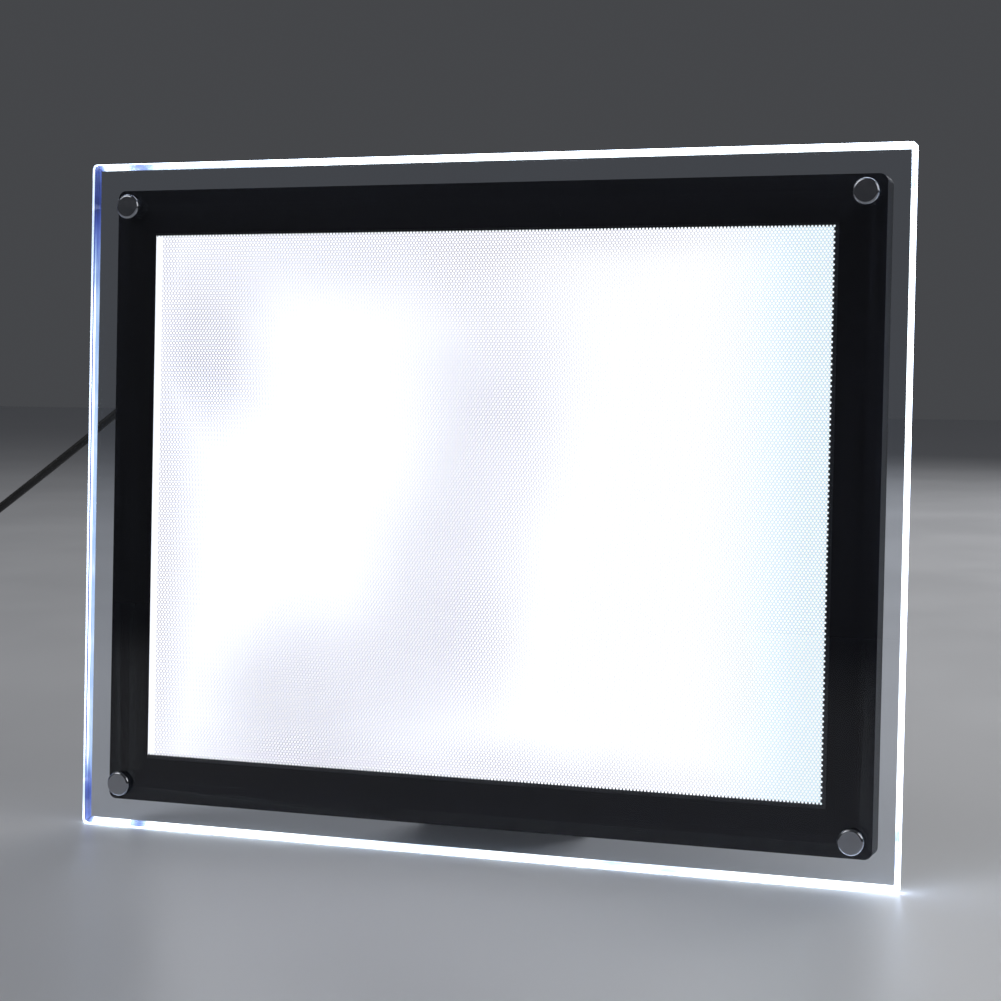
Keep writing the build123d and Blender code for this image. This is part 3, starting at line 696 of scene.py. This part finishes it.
def strap_mesh():
    """The tape's rounded section swept along its middle line."""
    half, edge = strap_width / 2, strap_thickness / 2
    section = []
    for side in (1, -1):
        for step in range(5):
            turn = pi / 2 - pi * step / 4
            section.append((side * (half - edge + edge * cos(turn)), side * edge * sin(turn)))
    line = strap_line()
    form = bmesh.new()
    rings = []
    for index, point in enumerate(line):
        ahead = line[min(index + 1, len(line) - 1)] - line[max(index - 1, 0)]
        ahead.normalize()
        out = Vector((ahead.y, -ahead.x))
        rings.append(
            [
                form.verts.new((point.x + out.x * rise, coil_y + across, point.y + out.y * rise))
                for across, rise in section
            ]
        )
    for ring, next_ring in zip(rings, rings[1:]):
        for index in range(len(section)):
            beside = (index + 1) % len(section)
            form.faces.new((ring[index], ring[beside], next_ring[beside], next_ring[index]))
    form.faces.new(rings[0])
    form.faces.new(rings[-1])
    bmesh.ops.recalc_face_normals(form, faces=form.faces)
    for face in form.faces:
        face.smooth = len(face.verts) == 4
    mesh = bpy.data.meshes.new("coil_strap")
    form.to_mesh(mesh)
    form.free()
    mesh.materials.append(looks["tie_fabric"])
    return mesh


strap = bpy.data.objects.new("coil_strap", strap_mesh())
bpy.context.scene.collection.objects.link(strap)
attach(strap, "light_box")
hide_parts("coil_tie")

# ---- Lead: one curve from the strain relief to the plug, with its spare length coiled ----
lead_diameter = 3.5 * mm
relief_tip = place(-137.5 * mm, 62.0 * mm, -28.85 * mm)
coil_radii = [22.5 * mm, 19.0 * mm, 15.5 * mm]
coil_floor = 2.65 * mm
coil_turns = 11.5
points_per_turn = 24

lead_route = [
    relief_tip,
    (-0.1375, 0.0321, 0.1890),
    (-0.1440, 0.0426, 0.1872),
    (-0.1555, 0.0483, 0.1820),
    (-0.1720, 0.0484, 0.1698),
    (-0.1950, 0.0479, 0.1529),
    (-0.2190, 0.0474, 0.1356),
    (-0.2550, 0.0466, 0.1102),
    (-0.2850, 0.0460, 0.0896),
    (-0.3150, 0.0454, 0.0695),
    (-0.3450, 0.0448, 0.0503),
    (-0.3750, 0.0441, 0.0322),
    (-0.4000, 0.0436, 0.0182),
    (-0.4170, 0.0430, 0.0093),
    (-0.4300, 0.0425, 0.0043),
    (-0.4400, 0.0421, coil_floor),
]
tail_route = [
    (coil_x + 0.0140, -0.0032, 0.01215),
    (coil_x + 0.0290, -0.0052, 0.0053),
    (coil_x + 0.0430, -0.0055, 0.0040),
]


def eased(x):
    """0 to 1, with a smooth start and stop."""
    x = min(max(x, 0.0), 1.0)
    return x * x * (3 - 2 * x)


def coil_slot(turn):
    """Radius and height of a turn: three side by side in each layer, wound out and in by turns."""
    layer, step = divmod(turn, len(coil_radii))
    column = step if layer % 2 == 0 else len(coil_radii) - 1 - step
    return coil_radii[column], coil_floor + layer * lead_diameter


def coil_points():
    """The coil's turns from its north point, each easing to the next one's place before it ends."""
    spline_share = 0.75 + 0.25 * cos(2 * pi / points_per_turn)  # the curve's reach over its points' reach
    points = []
    for step in range(round(coil_turns * points_per_turn) + 1):
        turn, along = divmod(step, points_per_turn)
        along /= points_per_turn
        radius, height = coil_slot(turn)
        next_radius, next_height = coil_slot(turn + 1)
        if turn + 1 < coil_turns:
            radius += (next_radius - radius) * eased((along - 0.68) / 0.16)
            height += (next_height - height) * eased((along - 0.84) / 0.16)
        angle = pi / 2 + 2 * pi * along
        looseness = 0.12 * mm * sin(3 * angle + 1.7 * turn)
        reach = (radius + looseness) / spline_share
        points.append((coil_x + reach * cos(angle), coil_y + reach * sin(angle), height))
    return points


lead_curve = bpy.data.curves.new("power_lead_cord", "CURVE")
lead_curve.dimensions = "3D"
spline = lead_curve.splines.new("NURBS")
lead_points = [*lead_route, *coil_points(), *tail_route]
spline.points.add(len(lead_points) - 1)
for point, target in zip(spline.points, lead_points):
    point.co = (*target, 1)
    point.radius = lead_diameter / 2
spline.order_u = 3
spline.use_endpoint_u = True
lead_curve.bevel_depth = 1.0  # times each point's radius
lead_curve.bevel_resolution = 6
lead_curve.resolution_u = 6
lead_curve.use_fill_caps = True
lead_curve.materials.append(looks["lead_jacket"])
lead = bpy.data.objects.new("power_lead_cord", lead_curve)
bpy.context.scene.collection.objects.link(lead)
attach(lead, "light_box")
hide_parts("power_lead", "lead_coil", "lead_tail")

# ---- Floor and light ----
floor_half = 4.0
floor_mesh = bpy.data.meshes.new("floor")
floor_corners = [(x * floor_half, y * floor_half, 0) for x, y in ((-1, -1), (1, -1), (1, 1), (-1, 1))]
floor_mesh.from_pydata(floor_corners, [], [(0, 1, 2, 3)])
floor = bpy.data.objects.new("floor", floor_mesh)
floor_mesh.materials.append(speckled("pale_floor", (0.70, 0.71, 0.74), (0.74, 0.75, 0.78), 6.0, 0.42, 0.0))
bpy.context.scene.collection.objects.link(floor)


def softbox(name, spot, aim, size, power, colour=(1, 1, 1)):
    """A square area light at a spot, facing a point."""
    light = bpy.data.lights.new(name, "AREA")
    light.shape, light.size, light.energy, light.color = "SQUARE", size, power, colour
    lamp = bpy.data.objects.new(name, light)
    lamp.location = spot
    lamp.rotation_euler = (Vector(aim) - Vector(spot)).to_track_quat("-Z", "Y").to_euler()
    bpy.context.scene.collection.objects.link(lamp)


middle = (0, 0, 0.13)
softbox("key_light", (-1.1, -1.0, 1.5), middle, 1.2, 9)
softbox("fill_light", (1.5, -0.4, 1.0), middle, 1.0, 4)
softbox("back_light", (0.3, 1.6, 1.3), middle, 1.4, 13)

world = bpy.data.worlds.new("studio")
world.use_nodes = True
backdrop = world.node_tree.nodes["Background"]
backdrop.inputs["Color"].default_value = (0.80, 0.83, 0.90, 1)
backdrop.inputs["Strength"].default_value = 0.075
bpy.context.scene.world = world
bpy.context.scene.view_settings.view_transform = "Standard"
